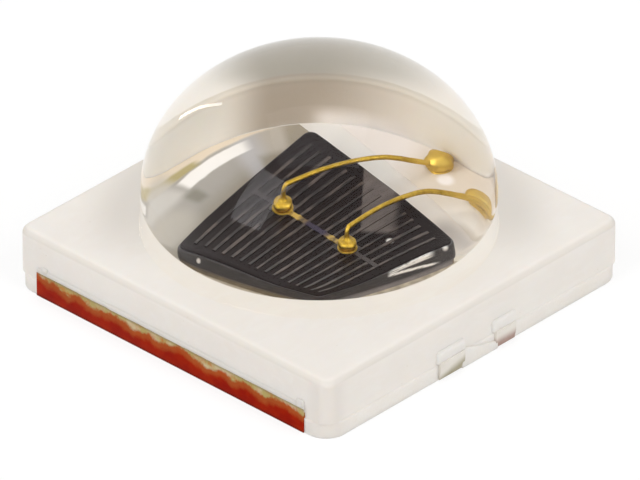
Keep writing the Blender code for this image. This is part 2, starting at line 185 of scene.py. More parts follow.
class Graph:
    """A node tree that is filled by calls."""

    def __init__(self, tree):
        self.tree = tree

    def put(self, socket, value):
        if isinstance(value, Value):
            self.tree.links.new(value.socket, socket)
        elif value is not None:
            if socket.type == "RGBA" and len(value) == 3:
                value = (*value, 1.0)
            socket.default_value = value

    def node(self, kind, settings=None, *values, **named):
        made = self.tree.nodes.new(kind)
        for key, value in (settings or {}).items():
            setattr(made, key, value)
        for index, value in enumerate(values):
            self.put(made.inputs[index], value)
        for key, value in named.items():
            self.put(made.inputs[key.replace("_", " ")], value)
        return made

    def add(self, kind, settings=None, *values, out=0, **named):
        return Value(self, self.node(kind, settings, *values, **named).outputs[out])

    def rays(self, *kinds):
        """1 for rays of any of these kinds."""
        path = self.node("ShaderNodeLightPath")
        share = Value(self, path.outputs[f"Is {kinds[0]} Ray"])
        for kind in kinds[1:]:
            share = share + Value(self, path.outputs[f"Is {kind} Ray"])
        return share.clamp()


class Paint(Graph):
    """One material."""

    def __init__(self, name):
        self.material = bpy.data.materials.new(name)
        self.material.use_nodes = True
        super().__init__(self.material.node_tree)
        self.tree.nodes.clear()
        self.output = self.tree.nodes.new("ShaderNodeOutputMaterial")
        coords = self.add("ShaderNodeTexCoord", out="Object")
        self.place = self.add("ShaderNodeMapping", None, coords, Scale=(1 / MM,) * 3)

    def xyz(self):
        split = self.node("ShaderNodeSeparateXYZ", None, self.place)
        return tuple(Value(self, socket) for socket in split.outputs)

    def stretched(self, *scale):
        return self.add("ShaderNodeMapping", None, self.place, Scale=scale)

    def noise(self, per_mm, detail=3.0, rough=0.55, vector=None, twist=0.0):
        where = vector or self.place
        sizes = {"Scale": per_mm, "Detail": detail, "Roughness": rough, "Distortion": twist}
        return self.add("ShaderNodeTexNoise", None, where, **sizes)

    def cells(self, per_mm):
        """Distance to the nearest of scattered points."""
        return self.add("ShaderNodeTexVoronoi", None, self.place, Scale=per_mm, out="Distance")

    def mix(self, a, b, share):
        """Colour a turning into colour b."""
        made = self.node("ShaderNodeMix", {"data_type": "RGBA"})
        for index, value in ((0, share), (6, a), (7, b)):
            self.put(made.inputs[index], value)
        return Value(self, made.outputs[2])

    def bump(self, height, depth_mm, strength=1.0, under=None):
        sizes = {"Strength": strength, "Distance": depth_mm * MM, "Height": height}
        return self.add("ShaderNodeBump", None, Normal=under, **sizes)

    def principled(self, **sockets):
        return self.add("ShaderNodeBsdfPrincipled", None, **sockets)

    def painted(self, **sockets):
        return self.done(self.principled(**sockets))

    def done(self, surface):
        self.tree.links.new(surface.socket, self.output.inputs[0])
        return self.material


class Recipe(Graph):
    """A Geometry Nodes tree with named inputs, used once and then baked."""

    SOCKETS = {int: "NodeSocketInt", float: "NodeSocketFloat"}

    def __init__(self, name, **inputs):
        super().__init__(bpy.data.node_groups.new(name, "GeometryNodeTree"))
        self.inputs = inputs
        face = self.tree.interface
        face.new_socket("Geometry", in_out="INPUT", socket_type="NodeSocketGeometry")
        face.new_socket("Geometry", in_out="OUTPUT", socket_type="NodeSocketGeometry")
        for key, value in inputs.items():
            kind = self.SOCKETS.get(type(value), "NodeSocketMaterial")
            face.new_socket(key, in_out="INPUT", socket_type=kind)
        self.start = self.node("NodeGroupInput")

    def given(self, key):
        return Value(self, self.start.outputs[key])

    def vector(self, x=0.0, y=0.0, z=0.0):
        return self.add("ShaderNodeCombineXYZ", None, x, y, z)

    def row(self, x, y, z):
        """Points along X, from the reach before a place to the reach beyond it."""
        step = self.given("reach") * 2.0 / (self.given("count") - 1.0)
        start = self.vector(x - self.given("reach"), y, z)
        places = {"Start Location": start, "Offset": self.vector(step)}
        mode = {"mode": "OFFSET"}
        return self.add("GeometryNodeMeshLine", mode, Count=self.given("count"), **places)

    def chance(self, low, high, seed):
        """A number that differs from one element to the next."""
        made = self.node("FunctionNodeRandomValue", {"data_type": "FLOAT"})
        for index, value in ((2, low), (3, high), (8, seed)):
            self.put(made.inputs[index], value)
        return Value(self, made.outputs[1])

    def tube(self, path, ring, radius):
        """The ring swept along the path, closed at its ends."""
        shaped = self.add("GeometryNodeSetCurveRadius", None, path, Radius=radius)
        made = self.node("GeometryNodeCurveToMesh", None, shaped, ring, Fill_Caps=True)
        if "Scale" in made.inputs:
            self.put(made.inputs["Scale"], radius)
        return self.add("GeometryNodeSetShadeSmooth", None, Value(self, made.outputs[0]))

    def finish(self, shape, name, verts=(), edges=()):
        """Runs the recipe on the given points and returns the baked piece."""
        real = self.add("GeometryNodeRealizeInstances", None, shape)
        painted = self.add("GeometryNodeSetMaterial", None, real, Material=self.given("finish"))
        self.node("NodeGroupOutput", None, painted)
        mesh = bpy.data.meshes.new(name)
        mesh.from_pydata([tuple(c * MM for c in v) for v in verts], list(edges), [])
        piece = placed(name, mesh)
        mod = piece.modifiers.new("recipe", "NODES")
        mod.node_group = self.tree
        for item in self.tree.interface.items_tree:
            if item.in_out == "INPUT" and item.name in self.inputs:
                mod[item.identifier] = self.inputs[item.name]
        bake_modifiers(piece)
        return piece


# Places on the object that the finishes share
def round_cup(x, y):
    """Distance from the cup's axis, and direction round it in degrees from +X."""
    return (x * x + y * y) ** 0.5, y.math("ARCTAN2", x) * (180.0 / pi)


def rightwards(x, y):
    """Distance to the right along the photograph's picture plane."""
    return x * VIEW_COS + y * VIEW_SIN


def backwards(x, y):
    """Distance away from the photograph's side of the object."""
    return y * VIEW_COS - x * VIEW_SIN


def within(x, y, middle_x, middle_y, full, gone):
    """1 inside a round spot, falling to 0 at its outer radius."""
    return (((x - middle_x) ** 2.0 + (y - middle_y) ** 2.0) ** 0.5).under(full, gone)


# Finishes
def cream_moulding():
    """Moulded plastic, with painted shade, browner where the cup's far wall is seen through the
    dome, and painted light on the cup's wall.
    """
    p = Paint("cream_moulding")
    x, y, z = p.xyz()
    cloud = p.noise(1.1, 4.0, 0.6)
    grain = p.noise(60.0, 2.0, 0.7)
    flow = p.noise(9.0, 3.0, 0.6, p.stretched(1.0, 0.35, 1.0), 0.8)
    colour = p.mix((0.89, 0.845, 0.795), (0.865, 0.815, 0.76), cloud.over(0.35, 0.7))
    colour = p.mix(colour, (0.90, 0.865, 0.825), flow.over(0.45, 0.75) * 0.5)
    low = z.under(0.05, 0.19) * grain.over(0.3, 0.8)
    colour = p.mix(colour, (0.80, 0.74, 0.66), low * 0.4)
    colour = cup_wall_tones(p, colour, x, y, z)
    colour = cream_edges(p, colour, x, y, z)
    speck = p.cells(7.0).under(0.03, 0.06) * p.noise(3.0, 0.0).over(0.60, 0.62)
    colour = p.mix(colour, (0.60, 0.52, 0.42), speck * 0.3)
    rough = 0.46 + cloud * 0.10 + grain * 0.06
    skin = p.bump(flow, 0.004, 0.35, p.bump(grain, 0.0012, 0.5))
    return p.painted(
        Base_Color=colour,
        Roughness=rough,
        Normal=skin,
        IOR=1.52,
        Specular_IOR_Level=0.3,
        Subsurface_Weight=0.3,
        Subsurface_Radius=(1.0, 0.8, 0.6),
        Subsurface_Scale=0.12 * MM,
    )


def cup_wall_tones(p, colour, x, y, z):
    """Painted light and shade on the cup's wall, lip and web, and on the top face that is seen
    beyond them.
    """
    reach, turn = round_cup(x, y)
    wall = reach.under(1.14, 1.16)
    # Painted light: the cup's wall is a brighter, warmer cream than the moulding
    colour = p.mix(colour, (1.0, 0.935, 0.85), wall)
    # Painted shade: the top face beyond the far side of the cup is darker
    far = turn.over(100.0, 118.0) * turn.under(148.0, 166.0) * reach.over(1.14, 1.22)
    far = far * reach.under(1.45, 1.60) * z.over(0.60, 0.61)
    colour = p.mix(colour, (0.66, 0.63, 0.575), far)
    # Painted shade on the far wall and on the top face beyond it
    dark = p.mix((0.51, 0.435, 0.355), (0.37, 0.34, 0.29), reach.over(1.13, 1.16))
    shade = turn.over(98.0, 136.0) * turn.under(145.0, 160.0) * reach.under(1.40, 1.55)
    colour = p.mix(colour, dark, shade)
    # Painted shade on the rounded lip, lighter low on it and darker high on it, deeper where the
    # far wall is shaded
    low_lip = p.mix((0.79, 0.72, 0.625), (0.41, 0.36, 0.295), shade)
    high_lip = p.mix((0.68, 0.62, 0.535), (0.345, 0.30, 0.25), shade)
    lip_shade = p.mix(low_lip, high_lip, reach.over(1.127, 1.139))
    lip = reach.near(1.138, 0.009, 0.010) * z.over(0.56, 0.60)
    colour = p.mix(colour, lip_shade, lip * 0.9)
    # Painted light: a bright band low on the far wall, behind the chip
    lit = turn.over(106.0, 116.0) * turn.under(131.0, 137.0) * wall
    colour = p.mix(colour, (0.84, 0.775, 0.725), lit * z.under(0.355, 0.445))
    web = p.mix((0.93, 0.84, 0.75), (0.95, 0.91, 0.86), turn.over(100.0, 112.0))
    web = p.mix(web, (0.56, 0.50, 0.46), within(x, y, 0.155, 0.80, 0.02, 0.12) * 0.9)
    return p.mix(colour, web, z.under(0.332, 0.334) * wall)


def cream_edges(p, colour, x, y, z):
    """Painted contact shade round the lens, painted shade on the top rim and on the +X, -Y corner,
    and darker outer faces of the flash.
    """
    reach, _ = round_cup(x, y)
    outside = z.over(0.60, 0.61) * reach.over(1.61, 1.63)
    contact = reach.under(1.75, 2.25) * backwards(x, y).over(-0.9, 0.2) * outside
    colour = p.mix(colour, (0.70, 0.66, 0.615), contact * 0.9)
    # Painted shade on the rounded top rim, where it catches the lamps
    rim = z.near(0.583, 0.014, 0.020) * reach.over(1.65, 1.70)
    colour = p.mix(colour, (0.78, 0.735, 0.68), rim)
    # Painted shade on the vertical corner towards +X, -Y
    corner = (x - y).over(3.55, 3.75) * z.under(0.57, 0.60)
    colour = p.mix(colour, (0.80, 0.75, 0.70), corner * 0.8)
    slope = y.math("ABSOLUTE").over(1.9304, 1.9320) * z.over(0.22, 0.24)
    return p.mix(colour, (0.78, 0.735, 0.675), slope * 0.9)


def lead_copper():
    """Sawn copper: plating torn over its upper edge, and paler tie bar ends."""
    p = Paint("lead_copper_sawn")
    x, y, z = p.xyz()
    lobes = p.noise(2.6, 2.0, 0.5, p.stretched(1.0, 1.0, 0.1), 0.3)
    fray = p.noise(14.0, 3.0, 0.7)
    torn = z - 0.012 + (lobes - 0.5) * 0.30 + (fray - 0.5) * 0.07
    plated = torn.over(0.168, 0.212)
    rim = torn.near(0.168, 0.010, 0.070)
    saw = p.noise(40.0, 3.0, 0.7, p.stretched(0.12, 0.12, 1.0))
    cloud = p.noise(5.0, 3.0, 0.6)
    copper = p.mix((0.30, 0.008, 0.001), (0.39, 0.020, 0.001), cloud.over(0.3, 0.7))
    copper = p.mix(copper, (0.42, 0.06, 0.015), saw.over(0.6, 0.85) * 0.4)
    copper = p.mix(copper, (0.10, 0.012, 0.004), z.under(0.012, 0.045) * 0.5)
    gilt = p.mix((0.50, 0.22, 0.06), (0.46, 0.37, 0.14), fray.over(0.35, 0.60))
    gilt = p.mix(gilt, (0.64, 0.54, 0.37), cloud.over(0.45, 0.65) * 0.7)
    gilt = p.mix(gilt, (0.30, 0.25, 0.13), z.over(0.222, 0.246) * 0.7)
    colour = p.mix(p.mix(copper, (0.46, 0.15, 0.035), rim * 0.5), gilt, plated)
    tie = x.math("ABSOLUTE").over(1.90, 1.91)
    colour = p.mix(colour, tie_bar_ends(p, y, z, cloud, fray), tie)
    skin = p.bump(plated, 0.006, 0.6, p.bump(saw, 0.004, 0.6))
    return p.painted(
        Base_Color=colour,
        Metallic=0.18 - tie * 0.15,
        Roughness=0.42 + saw * 0.2,
        Normal=skin,
        Specular_IOR_Level=0.03,
    )


def tie_bar_ends(p, y, z, cloud, fray):
    """Pale sheared metal, with painted shade on the torn feet: olive on the large lead and pinkish
    brown on the small lead's.
    """
    pale = p.mix((0.80, 0.755, 0.69), (0.84, 0.80, 0.74), cloud.over(0.35, 0.65))
    # Painted shade on the torn feet, which face down
    olive = p.mix((0.38, 0.34, 0.23), (0.52, 0.48, 0.37), fray)
    pink_shade = p.mix((0.42, 0.28, 0.24), (0.54, 0.41, 0.36), fray)
    small_lead = y.over(0.0, 0.1)
    down = z - (y + 0.33) * 0.30 * (1.0 - small_lead) - small_lead * 0.02
    return p.mix(pale, p.mix(olive, pink_shade, small_lead), down.under(0.02, 0.13))


def silver_plating():
    """Rolled and plated metal of the solder faces."""
    p = Paint("silver_plating")
    cloud = p.noise(2.4, 4.0, 0.6)
    grain = p.noise(70.0, 2.0, 0.6)
    rolled = p.noise(16.0, 3.0, 0.6, p.stretched(1.0, 0.08, 1.0))
    colour = p.mix((0.86, 0.85, 0.82), (0.78, 0.755, 0.70), cloud.over(0.35, 0.75))
    colour = p.mix(colour, (0.70, 0.66, 0.58), rolled.over(0.6, 0.85) * 0.35)
    skin = p.bump(rolled, 0.002, 0.4, p.bump(grain, 0.0012, 0.5))
    rough = 0.26 + cloud * 0.16 + grain * 0.08
    return p.painted(Base_Color=colour, Metallic=1.0, Roughness=rough, Normal=skin)


def cup_plating():
    """Bright cup floor with painted light and shade: a painted bright crescent behind the chip,
    painted shade further round the far side, a painted highlight as a half moon, and darker places
    next to the chip.
    """
    p = Paint("cup_plating")
    x, y, _ = p.xyz()
    cloud = p.noise(2.6, 4.0, 0.6)
    grain = p.noise(60.0, 2.0, 0.6)
    true_reach, turn = round_cup(x, y)
    reach = true_reach + (cloud - 0.5) * 0.03
    side = y.math("ARCTAN2", x * -1.0) * (180.0 / pi)
    colour = p.mix((0.84, 0.79, 0.73), (0.78, 0.74, 0.66), cloud.over(0.35, 0.7))
    # Painted light: a bright, matt region of the floor behind the chip
    bright = turn.over(62.0, 74.0) * turn.under(133.0, 138.0)
    white = p.mix((0.88, 0.84, 0.80), (0.76, 0.68, 0.59), turn.over(82.0, 94.0))
    white = p.mix(white, (0.82, 0.775, 0.755), turn.over(100.0, 112.0))
    colour = p.mix(colour, white, bright)
    cool = side.over(-60.0, -40.0) * side.under(40.0, 46.0)
    outer = side.under(4.0, 7.0) * reach.over(0.94, 1.0)
    colour = p.mix(colour, p.mix((0.41, 0.39, 0.37), (0.62, 0.605, 0.585), outer), cool)
    # Painted shade on the far side of the floor
    shade = turn.over(133.0, 138.0) * turn.under(146.0, 151.0)
    colour = p.mix(colour, (0.40, 0.345, 0.27), shade)
    # Darker next to the chip on the -X side
    aside = (x - CHIP[0]).math("ABSOLUTE").larger((y - CHIP[1]).math("ABSOLUTE")) - CHIP_HALF
    colour = p.mix(colour, (0.33, 0.295, 0.235), aside.under(0.12, 0.25) * cool * 0.9)
    colour = half_moon(p, colour, reach, side)
    for spot_x, spot_y, full, gone, tone in CUP_SPOTS:
        colour = p.mix(colour, tone, within(x, y, spot_x, spot_y, full, gone) * 0.9)
    skin = p.bump(cloud, 0.004, 0.4, p.bump(grain, 0.0012, 0.4))
    metal = 0.85 - bright.larger(cool).larger(shade) * 0.8
    rough = 0.34 + cloud * 0.2
    return p.painted(Base_Color=colour, Metallic=metal, Roughness=rough, Normal=skin)


def half_moon(p, colour, reach, side):
    """A painted highlight as a half moon on the -X side, and the pale, beige, olive and dark places
    round it.
    """
    past = side.under(27.0, 30.0).larger(reach.over(0.93, 0.99))
    pale = p.mix((0.54, 0.535, 0.56), (0.55, 0.51, 0.455), side.over(27.0, 34.0))
    colour = p.mix(colour, pale, side.over(20.5, 26.0) * side.under(36.0, 39.0) * past * 0.9)
    bowed = reach - side.larger(5.0) * 0.0019
    # Painted highlight: a matt near-white half moon along the floor near the wall
    moon = bowed.near(0.9955, 0.026, 0.012) * side.over(6.0, 8.0) * side.under(25.0, 29.0)
    colour = p.mix(colour, (0.98, 0.97, 0.97), moon)
    beyond = bowed.over(1.034, 1.050) * side.over(-30.0, -10.0) * side.under(32.0, 37.0)
    beige = p.mix((0.60, 0.57, 0.52), (0.83, 0.73, 0.60), side.over(6.0, 10.0))
    colour = p.mix(colour, beige, beyond)
    olive_arc = side.near(10.5, 2.0, 3.0) * reach.near(1.071, 0.008, 0.014)
    colour = p.mix(colour, (0.44, 0.37, 0.14), olive_arc * 0.9)
    dark = side.near(6.0, 0.8, 2.4) * reach.near(0.925, 0.02, 0.05)
    return p.mix(colour, (0.24, 0.23, 0.19), dark * 0.9)


def bond_gold():
    """Soft dented gold, paler where the wires' far ends are melted."""
    p = Paint("bond_gold_soft")
    _, y, _ = p.xyz()
    dent = p.noise(24.0, 3.0, 0.6)
    grain = p.noise(110.0, 2.0, 0.6)
    colour = p.mix((0.37, 0.235, 0.020), (0.55, 0.37, 0.055), dent.over(0.3, 0.7))
    colour = p.mix(colour, (0.70, 0.49, 0.10), y.over(0.85, 0.95) * 0.8)
    skin = p.bump(grain, 0.0015, 0.4, p.bump(dent, 0.006, 0.5))
    rough = 0.36 + grain * 0.16
    return p.painted(Base_Color=colour, Metallic=1.0, Roughness=rough, Normal=skin)


def chip_side():
    """Sawn flank of the chip: dark, brown at its foot, with painted highlights, made metallic, on
    the +X side and one spot on the -Y side.
    """
    p = Paint("chip_sawn_side")
    x, y, z = p.xyz()
    streak = p.noise(30.0, 3.0, 0.7, p.stretched(0.3, 0.3, 4.0))
    cloud = p.noise(8.0, 3.0, 0.6)
    colour = p.mix((0.022, 0.017, 0.017), (0.060, 0.050, 0.052), streak.over(0.4, 0.8))
    right = x.over(0.488, 0.492)
    foot = p.mix((0.26, 0.20, 0.12), (0.30, 0.27, 0.27), right)
    colour = p.mix(colour, foot, z.under(0.375, 0.42) * (0.3 + cloud * 0.7))
    # Painted highlights: metallic white streaks on the +X side and a spot on the -Y side
    gleam = flank_gleams(y, z, streak) * right
    glint_spot = within(x, z, -0.497, 0.462, 0.008, 0.02) * y.under(-0.52, -0.515)
    gleam = gleam.larger(glint_spot)
    colour = p.mix(colour, (0.95, 0.94, 0.95), gleam)
    return p.painted(
        Base_Color=colour,
        Metallic=gleam,
        Roughness=0.30 + streak * 0.15,
        Normal=p.bump(streak, 0.003, 0.6),
        Specular_IOR_Level=0.35,
    )


def flank_gleams(y, z, streak):
    """Painted highlights: two streaks that part towards +Y, and a spot at the corner's tip."""
    along = (y - 0.09) / 0.40
    upper = (z - 0.477).math("ABSOLUTE") - along * 0.006
    upper = upper.under(0.003, 0.010) * along.over(0.0, 0.15) * along.under(0.80, 1.0)
    lower = (z - 0.468 + along * 0.040).math("ABSOLUTE")
    lower = lower.under(0.003, 0.010) * along.over(0.0, 0.1) * along.under(0.90, 1.08)
    tip = ((y - 0.555) ** 2.0 * 0.4 + (z - 0.482) ** 2.0) ** 0.5
    return (upper.larger(lower) * streak.over(0.28, 0.48)).larger(tip.under(0.004, 0.018) * 0.8)


def sheen_patch(x, y):
    """Share of the painted sheen on the right half of the chip's top, in place of a soft box's
    reflection.
    """
    across, away = rightwards(x, y), backwards(x, y)
    return across.over(0.262, 0.275) * across.under(0.43, 0.50) * away.over(0.0, 0.05)


def chip_film():
    """Polished top of the chip: nearly black brown, with painted sheens for the soft boxes'
    reflections, faint on the left and clear on the right.
    """
    p = Paint("chip_film_polished")
    x, y, _ = p.xyz()
    from_x, from_y = x - CHIP[0], y - CHIP[1]
    cloud = p.noise(3.0, 4.0, 0.6)
    fine = p.noise(12.0, 4.0, 0.6, p.stretched(1.0, 0.4, 1.0))
    colour = p.mix((0.007, 0.002, 0.001), (0.012, 0.006, 0.006), cloud.over(0.35, 0.7))
    across = rightwards(from_x, from_y)
    edge = backwards(from_x, from_y) + across * 0.25 + (fine - 0.5) * 0.12
    left = across.over(-0.50, -0.38) * across.under(-0.215, -0.18)
    left = left * edge.over(-0.13, 0.0) * edge.under(0.40, 0.55)
    sheen = p.mix((0.12, 0.10, 0.095), (0.18, 0.15, 0.14), fine.over(0.35, 0.7))
    right = sheen_patch(from_x, from_y)
    # Painted sheen: faint on the left, under the left box's own reflection, and clear on the right,
    # where the right box shows no reflection
    colour = p.mix(colour, sheen, (left * 0.05).larger(right * 0.9))
    colour = p.mix(colour, (0.75, 0.73, 0.70), within(x, y, 0.277, 0.324, 0.012, 0.03))
    return p.painted(
        Base_Color=colour,
        Roughness=0.25 + cloud * 0.12,
        Normal=p.bump(fine, 0.00008, 0.3),
        Specular_IOR_Level=0.03,
    )


def contact_metal():
    """Thin contact lines, gilded next to the pads and purple in between, and lighter under the
    painted sheen.
    """
    p = Paint("contact_metal_lines")
    x, y, _ = p.xyz()
    wear = p.noise(14.0, 3.0, 0.6, p.stretched(1.0, 0.35, 1.0))
    dull = p.mix((0.010, 0.005, 0.004), (0.095, 0.07, 0.06), wear.over(0.42, 0.68))
    # Painted sheen: the lines are lighter inside the right sheen patch
    dull = p.mix(dull, (0.10, 0.078, 0.07), sheen_patch(x - CHIP[0], y - CHIP[1]) * 0.8)
    on_bus = (y - PAD_Y).near(0.0, 0.020, 0.004)
    spread = (x - sum(PAD_XS) / 2).math("ABSOLUTE")
    gilt = p.mix((0.14, 0.09, 0.03), (0.60, 0.40, 0.08), wear.over(0.40, 0.60))
    bus = p.mix((0.020, 0.010, 0.035), gilt, spread.over(0.06, 0.14))
    bus = p.mix((0.03, 0.02, 0.02), bus, spread.under(0.26, 0.28))
    return p.painted(
        Base_Color=p.mix(dull, bus, on_bus),
        Metallic=0.6,
        Roughness=0.30 + wear * 0.15,
        Normal=p.bump(wear, 0.001, 0.4),
    )


def adhesive():
    """Dull silver-filled adhesive with a lumpy surface."""
    p = Paint("die_adhesive_dull")
    lumps = p.noise(14.0, 3.0, 0.6)
    colour = p.mix((0.40, 0.34, 0.26), (0.62, 0.55, 0.43), lumps.over(0.35, 0.7))
    skin = p.bump(lumps, 0.004, 0.6)
    rough = 0.42 + lumps * 0.15
    return p.painted(Base_Color=colour, Metallic=0.3, Roughness=rough, Normal=skin)


def clear_silicone():
    """Clear and slightly warm; light for what lies inside passes without a shadow."""
    p = Paint("clear_silicone")
    wave = p.noise(2.0, 2.0, 0.5)
    ripple = p.noise(9.0, 2.0, 0.5)
    tint = p.mix((1.0, 0.98, 0.94), (0.995, 0.97, 0.925), ripple.over(0.4, 0.7))
    glass = p.principled(
        Base_Color=tint,
        Roughness=0.0,
        IOR=1.45,
        Transmission_Weight=1.0,
        Specular_Tint=(0.36, 0.36, 0.38),
        Normal=p.bump(wave, 0.004, 0.25),
    )
    clear = p.add("ShaderNodeBsdfTransparent", None, (1.0, 0.99, 0.965))
    return p.done(p.add("ShaderNodeMixShader", None, p.rays("Shadow", "Diffuse"), glass, clear))


def pale_floor():
    """White to the camera and in reflections, and matt where it takes the shadow."""
    p = Paint("studio_floor")
    cloud = p.noise(0.02, 2.0, 0.5)
    colour = p.mix((0.90, 0.90, 0.895), (0.88, 0.88, 0.875), cloud.over(0.4, 0.6))
    matt = p.principled(Base_Color=colour, Roughness=0.9, Specular_IOR_Level=0.1)
    white = p.rays("Camera", "Glossy", "Transmission") * FLOOR_WHITE
    glow = p.add("ShaderNodeEmission", None, (1.0, 1.0, 1.0), FLOOR_GLOW)
    return p.done(p.add("ShaderNodeMixShader", None, white, matt, glow))


# Mesh makers
def placed(name, data):
    """A new object in the scene."""
    made = bpy.data.objects.new(name, data)
    bpy.context.scene.collection.objects.link(made)
    return made


def polar(r, a):
    """(x, y) at distance r in direction a."""
    return (r * cos(a), r * sin(a))


def new_piece(name, verts, faces, finish, smooth=None):
    """A closed piece from points in millimetres, with its faces turned outward."""
    mesh = bpy.data.meshes.new(name)
    mesh.from_pydata([tuple(c * MM for c in v) for v in verts], [], faces)
    bm = bmesh.new()
    bm.from_mesh(mesh)
    bmesh.ops.recalc_face_normals(bm, faces=bm.faces)
    if bm.calc_volume(signed=True) < 0:
        bmesh.ops.reverse_faces(bm, faces=bm.faces)
    bm.to_mesh(mesh)
    bm.free()
    piece = placed(name, mesh)
    mesh.materials.append(finish)
    if smooth is not None:
        mesh.shade_smooth()
        mesh.set_sharp_from_angle(angle=radians(smooth))
    return piece


def rings_to_faces(count, n, first=0):
    faces = []
    for k in range(count - 1):
        a = first + k * n
        for i in range(n):
            j = (i + 1) % n
            faces.append((a + i, a + n + i, a + n + j, a + j))
    return faces


def closed_rings(count, n):
    """Faces of rings of n points, closed onto a first and a last point."""
    faces = rings_to_faces(count, n, 1)
    outer, last = 1 + (count - 1) * n, 1 + count * n
    for i in range(n):
        j = (i + 1) % n
        faces += [(0, 1 + i, 1 + j), (outer + i, last, outer + j)]
    return faces


def turned(name, profile, finish, n, centre=(0.0, 0.0), smooth=40, dents=0.0, seed=0.0):
    """A turned piece: the profile is (r, z) from the axis round to the axis."""
    verts = [(centre[0], centre[1], profile[0][1])]
    for r, z in profile[1:-1]:
        for i in range(n):
            x, y = polar(r, 2 * pi * i / n)
            push = 1.0 + dents * noise.noise(Vector((x, y, z)) * 22.0 + Vector((seed, 0, 0)))
            verts.append((centre[0] + x * push, centre[1] + y * push, z))
    verts.append((centre[0], centre[1], profile[-1][1]))
    return new_piece(name, verts, closed_rings(len(profile) - 2, n), finish, smooth=smooth)


def rounded_square(half, r, centre, n=6):
    outline = []
    for quarter in range(4):
        a0 = quarter * pi / 2
        cx, cy = polar((half - r) * sqrt(2), a0 + pi / 4)
        for i in range(n + 1):
            x, y = polar(r, a0 + pi / 2 * i / n)
            outline.append((centre[0] + cx + x, centre[1] + cy + y))
    return outline


def square_loft(name, levels, finish, centre, smooth=40, waves=0.0):
    """A closed block through rounded squares (half, corner, z)."""
    verts = []
    for half, corner, z in levels:
        for x, y in rounded_square(half, corner, centre):
            shake = waves * noise.noise(Vector((x, y, z)) * 11.0)
            verts.append((x + shake, y + shake, z))
    n = len(verts) // len(levels)
    faces = rings_to_faces(len(levels), n)
    faces += [tuple(range(n)), tuple(range(len(verts) - n, len(verts)))]
    return new_piece(name, verts, faces, finish, smooth=smooth)


def finish_piece(piece, slot, *nodes):
    """Attaches a piece to the root body and hides the nodes that it stands for; its slot is not
    used.
    """
    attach(piece, "root")
    if nodes:
        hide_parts(*nodes)
    return piece


def bake_modifiers(piece):
    """Turns a piece into a plain mesh of what its modifiers give."""
    graph = bpy.context.evaluated_depsgraph_get()
    made = bpy.data.meshes.new_from_object(piece.evaluated_get(graph))
    old = piece.data
    piece.modifiers.clear()
    piece.data = made
    made.name = piece.name
    bpy.data.meshes.remove(old)


def weight_normals(piece):
    mod = piece.modifiers.new("weighted", "WEIGHTED_NORMAL")
    mod.keep_sharp = True
    mod.weight = 60
    bake_modifiers(piece)


# Housing
def square_reach(a, half, corner):
    """Distance from the middle to a rounded square's edge, in direction a."""
    c, s = abs(cos(a)), abs(sin(a))
    if s > c:
        c, s = s, c
    flat = half / c
    if flat * s <= half - corner:
        return flat
    m = half - corner
    along = m * (c + s)
    return along + sqrt(along * along - 2 * m * m + corner * corner)


def housing_angles():
    """Directions round the housing, closer together at its corners."""
    angles = []
    for quarter in range(4):
        for i in range(64):
            angles.append((quarter + i / 64) * pi / 2)
        middle = (quarter + 0.5) * pi / 2
        angles += [middle + radians(d * 0.35) for d in range(-14, 15) if d]
    return sorted(set(round(a, 9) for a in angles))


def housing_rings():
    """(kind, size, corner, z) from the cup floor out over the top and down to the underside."""
    rings = [("round", r, 0, LEAD_Z) for r in (0.6, 1.0, CUP_FLOOR_R - 0.004)]
    rings.append(("round", CUP_FLOOR_R, 0, LEAD_Z + 0.004))
    lip_z = BODY_TOP - CUP_LIP
    for i in range(1, 9):
        t = i / 9
        reach = CUP_FLOOR_R + (CUP_MOUTH_R - CUP_FLOOR_R) * t
        rings.append(("round", reach, 0, LEAD_Z + 0.004 + (lip_z - LEAD_Z - 0.004) * t))
    for i in range(6):
        a = pi / 2 * i / 5
        reach = CUP_MOUTH_R + CUP_LIP * (1 - cos(a))
        rings.append(("round", reach, 0, lip_z + CUP_LIP * sin(a)))
    for r in (1.17, 1.30, 1.45, 1.60, 1.70):
        rings.append(("round", r, 0, BODY_TOP))
    m = BODY_HALF - TOP_ROUND
    small = BODY_CORNER - TOP_ROUND
    rings.append(("square", m - 0.02, small, BODY_TOP))
    for i in range(11):
        a = pi / 2 * i / 10
        out, up = TOP_ROUND * sin(a), TOP_ROUND * cos(a)
        rings.append(("square", m + out, small + out, BODY_TOP - TOP_ROUND + up))
    for z in (0.50, 0.42, 0.34, 0.27, 0.21, FOOT_H + 0.010, FOOT_H + 0.003):
        rings.append(("square", BODY_HALF, BODY_CORNER, z))
    foot = BODY_HALF + FOOT_OUT
    rings.append(("square", BODY_HALF + 0.003, BODY_CORNER + 0.02, FOOT_H))
    rings.append(("square", foot - 0.002, FOOT_CORNER - 0.01, FOOT_H - 0.005))
    for z in (FOOT_H - 0.010, 0.12, 0.08, 0.04, 0.012):
        rings.append(("square", foot, FOOT_CORNER, z))
    rings.append(("square", foot - 0.004, FOOT_CORNER - 0.004, 0.003))
    rings.append(("square", foot - 0.010, FOOT_CORNER - 0.010, 0.0))
    rings.append(("square", foot - 0.12, FOOT_CORNER - 0.12, 0.0))
    return rings


def make_housing(finish):
    """The moulding in rings round its middle, with the leads' openings cut out."""
    angles = housing_angles()
    verts = [(0.0, 0.0, LEAD_Z)]
    rings = housing_rings()
    for kind, size, corner, z in rings:
        for a in angles:
            reach = size if kind == "round" else square_reach(a, size, corner)
            verts.append((*polar(reach, a), z))
    verts.append((0.0, 0.0, 0.0))
    body = new_piece("housing_moulded", verts, closed_rings(len(rings), len(angles)), finish)
    cut_for_leads(body)
    body.data.shade_smooth()
    body.data.set_sharp_from_angle(angle=radians(32))
    weight_normals(body)
    return finish_piece(body, "housing_cream", "housing")


